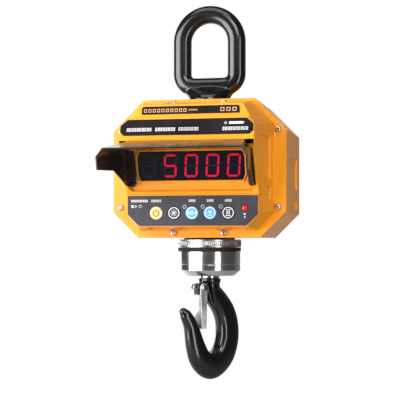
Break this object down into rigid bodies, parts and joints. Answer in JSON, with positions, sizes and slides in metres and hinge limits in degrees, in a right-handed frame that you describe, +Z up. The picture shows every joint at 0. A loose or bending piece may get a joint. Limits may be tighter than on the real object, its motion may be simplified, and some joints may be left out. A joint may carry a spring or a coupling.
{
  "type": "crane scale",
  "caption": "Crane scale: black lifting eye, orange cast housing with a visored digit display and keypad, steel swivel and black hook with a safety latch.",
  "frame": {"origin": "inner crown of the lifting eye, where the crane's hook bears", "axes": "+Z up along the load axis, the display faces -Y, +X to the reader's right"},
  "size_m": [0.2258, 0.3265, 0.4992],
  "materials": {
    "orange_paint": "glossy powder coat on cast aluminium",
    "black_paint": "gloss paint on forged steel",
    "visor_plastic": "gloss",
    "black_plastic": "satin",
    "rubber": "matt",
    "bright_steel": "polished",
    "steel": "machined",
    "display_glass": "clear gloss over a dark filter",
    "digits": "lit red segments",
    "overlay_film": "semi-gloss film",
    "key_yellow": "semi-gloss",
    "key_charcoal": "semi-gloss",
    "key_blue": "semi-gloss",
    "red_lens": "clear gloss",
    "board": "satin solder mask",
    "battery_wrap": "satin"
  },
  "bodies": {
    "root": {"lifting_eye": "black_paint", "eye_seal": "rubber", "load_cell": "steel", "eye_lock_pin": "steel", "housing_body": "orange_paint", "front_cover": "orange_paint", "rear_cover": "orange_paint", "front_gasket": "rubber", "rear_gasket": "rubber", "name_plate": "overlay_film", "rating_plate": "overlay_film", "display_window": "display_glass", "digit_display": "digits", "display_board": "board", "visor": "visor_plastic", "visor_screw_left": "black_paint", "visor_screw_right": "black_paint", "keypad_overlay": "overlay_film", "keypad_board": "board", "receiver_lens": "red_lens", "battery_tray": "black_plastic", "battery_pack": "battery_wrap", "door_hinge_pin": "steel", "main_board": "board", "load_stem": "steel", "bottom_seal": "rubber", "knurled_ring": "bright_steel", "seal_ring": "rubber", "bearing_housing": "bright_steel", "lower_race": "steel", "ball_ring": "bright_steel", "swivel_bush": "bright_steel", "front_screw_1": "bright_steel", "front_screw_2": "bright_steel", "front_screw_3": "bright_steel", "front_screw_4": "bright_steel", "front_screw_5": "bright_steel", "front_screw_6": "bright_steel", "front_screw_7": "bright_steel", "front_screw_8": "bright_steel", "rear_screw_1": "bright_steel", "rear_screw_2": "bright_steel", "rear_screw_3": "bright_steel", "rear_screw_4": "bright_steel"},
    "hook": {"hook": "black_paint", "hook_nut": "steel", "nut_pin": "steel", "upper_race": "steel", "latch_bolt": "bright_steel", "latch_nut": "black_paint", "latch_spring": "steel"},
    "latch": {"latch": "steel"},
    "battery_door": {"battery_door": "orange_paint"},
    "door_knob": {"door_knob": "black_plastic"},
    "key_power": {"key_power": "key_yellow"},
    "key_light": {"key_light": "key_charcoal"},
    "key_zero": {"key_zero": "key_blue"},
    "key_tare": {"key_tare": "key_blue"},
    "key_hold": {"key_hold": "key_charcoal"}
  },
  "joints": [
    {"name": "hook_swivel", "type": "hinge", "parent": "root", "child": "hook", "pos_m": [0, 0, -0.3364], "axis": [0, 0, 1], "continuous": true},
    {"name": "latch_hinge", "type": "hinge", "parent": "hook", "child": "latch", "pos_m": [-0.01023, -0.01097, -0.3522], "axis": [0.7314, -0.682, 0], "range_deg": [0, 25], "stiffness_Nm_per_rad": 0.02, "springref_deg": -28.65},
    {"name": "door_hinge", "type": "hinge", "parent": "root", "child": "battery_door", "pos_m": [-0.064, 0.086, -0.2], "axis": [0, 0, 1], "range_deg": [0, 105]},
    {"name": "knob_turn", "type": "hinge", "parent": "battery_door", "child": "door_knob", "pos_m": [0.042, 0.0874, -0.2], "axis": [0, 1, 0], "range_deg": [0, 90]},
    {"name": "key_power_press", "type": "slide", "parent": "root", "child": "key_power", "axis": [0, 1, 0], "range_m": [0, 0.0008], "stiffness_N_per_m": 600},
    {"name": "key_light_press", "type": "slide", "parent": "root", "child": "key_light", "axis": [0, 1, 0], "range_m": [0, 0.0008], "stiffness_N_per_m": 600},
    {"name": "key_zero_press", "type": "slide", "parent": "root", "child": "key_zero", "axis": [0, 1, 0], "range_m": [0, 0.0008], "stiffness_N_per_m": 600},
    {"name": "key_tare_press", "type": "slide", "parent": "root", "child": "key_tare", "axis": [0, 1, 0], "range_m": [0, 0.0008], "stiffness_N_per_m": 600},
    {"name": "key_hold_press", "type": "slide", "parent": "root", "child": "key_hold", "axis": [0, 1, 0], "range_m": [0, 0.0008], "stiffness_N_per_m": 600}
  ]
}
